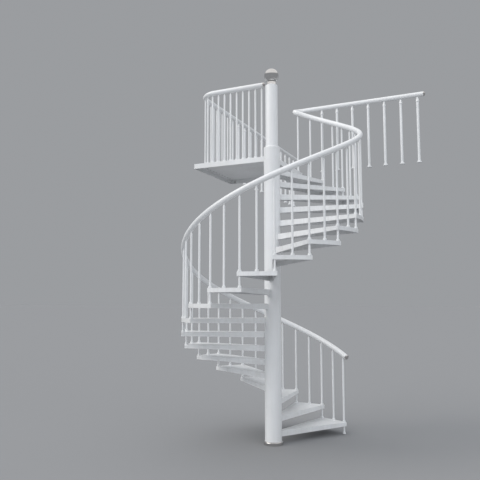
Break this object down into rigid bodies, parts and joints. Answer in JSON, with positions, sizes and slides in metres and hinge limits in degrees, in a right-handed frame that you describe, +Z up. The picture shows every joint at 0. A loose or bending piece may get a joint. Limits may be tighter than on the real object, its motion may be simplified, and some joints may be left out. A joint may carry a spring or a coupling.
{
  "type": "spiral staircase",
  "caption": "Outdoor spiral staircase: folded steel treads on a round column, helical handrail on vertical balusters, square landing with a guard.",
  "frame": {"origin": "on the column's axis at floor level, at the centre of the base flange's underside", "axes": "+Z up along the column, +X along the balcony's edge, +Y from the column towards the balcony"},
  "size_m": [3.107, 5.739, 5.023],
  "materials": {
    "white_paint": "satin",
    "bright_chrome": "polished"
  },
  "bodies": {
    "root": {"tread_01": "white_paint", "tread_02": "white_paint", "tread_03": "white_paint", "tread_04": "white_paint", "tread_05": "white_paint", "tread_06": "white_paint", "tread_07": "white_paint", "tread_08": "white_paint", "tread_09": "white_paint", "tread_10": "white_paint", "tread_11": "white_paint", "tread_12": "white_paint", "tread_13": "white_paint", "tread_14": "white_paint", "tread_15": "white_paint", "tread_16": "white_paint", "tread_17": "white_paint", "tread_18": "white_paint", "tread_19": "white_paint", "tread_20": "white_paint", "base_flange": "white_paint", "base_cover": "bright_chrome", "centre_post": "white_paint", "landing_platform": "white_paint", "column_shoulder": "white_paint", "ball_seat": "bright_chrome", "ball_finial": "bright_chrome", "spacer_sleeves": "white_paint", "corner_balusters": "white_paint", "middle_balusters": "white_paint", "baluster_collars": "white_paint", "handrail_1": "white_paint", "handrail_2": "white_paint", "handrail_3": "white_paint", "handrail_4": "white_paint", "handrail_5": "white_paint", "handrail_6": "white_paint", "handrail_7": "white_paint", "handrail_end_plug": "bright_chrome", "handrail_return_bend": "white_paint", "balcony_rail": "white_paint", "balcony_balusters": "white_paint", "balcony_collars": "white_paint", "balcony_feet": "white_paint", "landing_front_rail": "white_paint", "landing_rail_bend": "white_paint", "landing_side_rail": "white_paint", "landing_rail_plugs": "bright_chrome", "balcony_rail_plug": "bright_chrome", "landing_balusters": "white_paint", "landing_collars": "white_paint", "side_rail": "white_paint", "side_balusters": "white_paint", "side_collars": "white_paint", "side_feet": "white_paint"}
  },
  "joints": []
}
